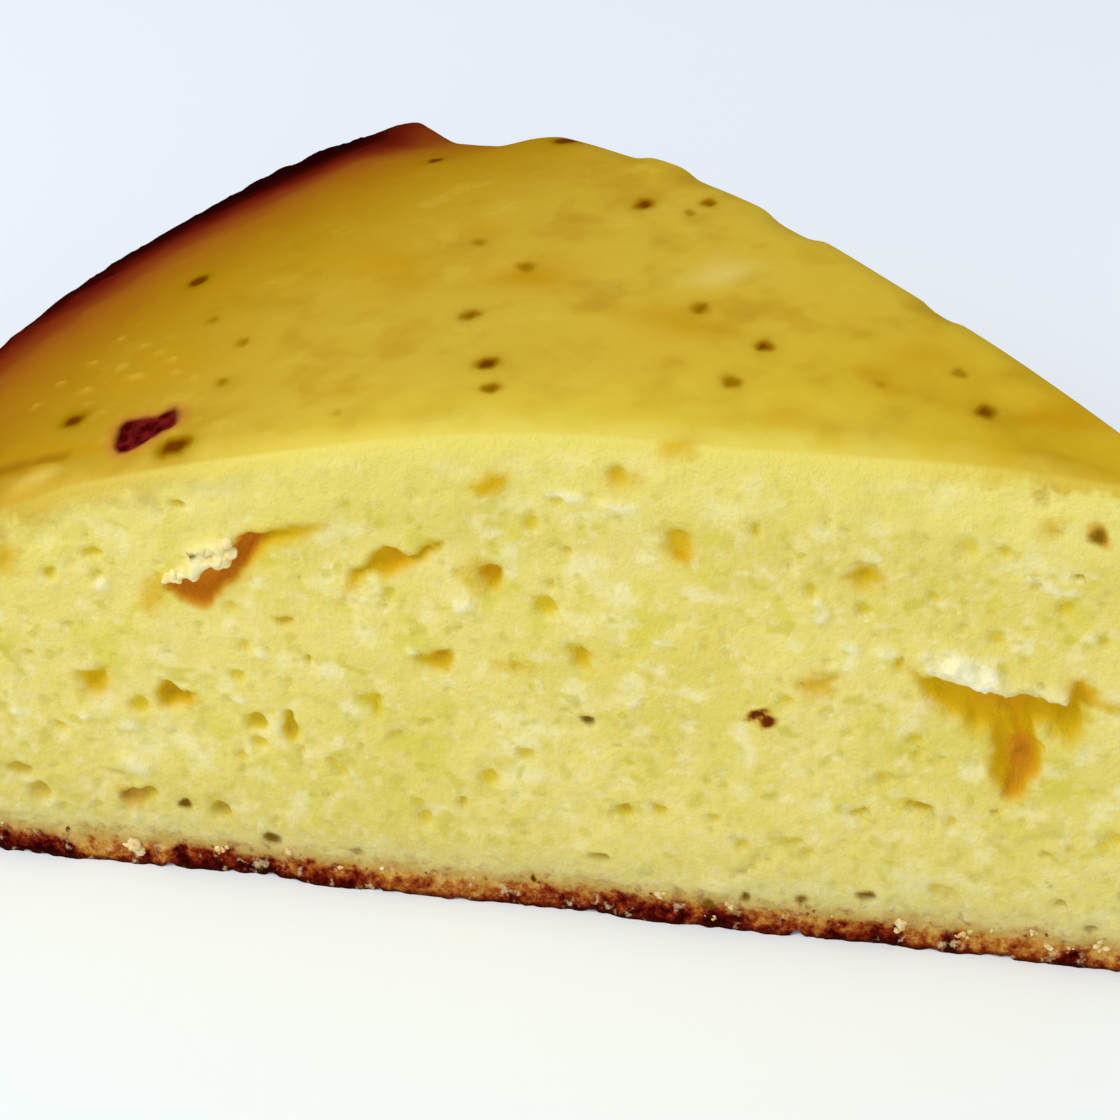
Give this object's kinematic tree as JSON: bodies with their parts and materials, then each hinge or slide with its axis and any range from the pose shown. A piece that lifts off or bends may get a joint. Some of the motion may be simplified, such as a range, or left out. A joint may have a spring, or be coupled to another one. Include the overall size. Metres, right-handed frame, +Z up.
{
  "type": "cake slice",
  "caption": "Wedge of a round, domed yogurt cake with a golden crust, browned rim, dark bottom crust and pale, porous crumb on its two cut faces",
  "frame": {"origin": "the middle of the footprint's box, on the flat bottom crust", "axes": "+X from the rim to the tip, +Z up from the bottom crust to the top crust, +Y towards the back cut"},
  "size_m": [0.11, 0.0814, 0.0493],
  "materials": {
    "baked_sponge": "soft, matte, open crumb with a smoother golden crust"
  },
  "bodies": {
    "root": {"cake_slice": "baked_sponge"}
  },
  "joints": []
}
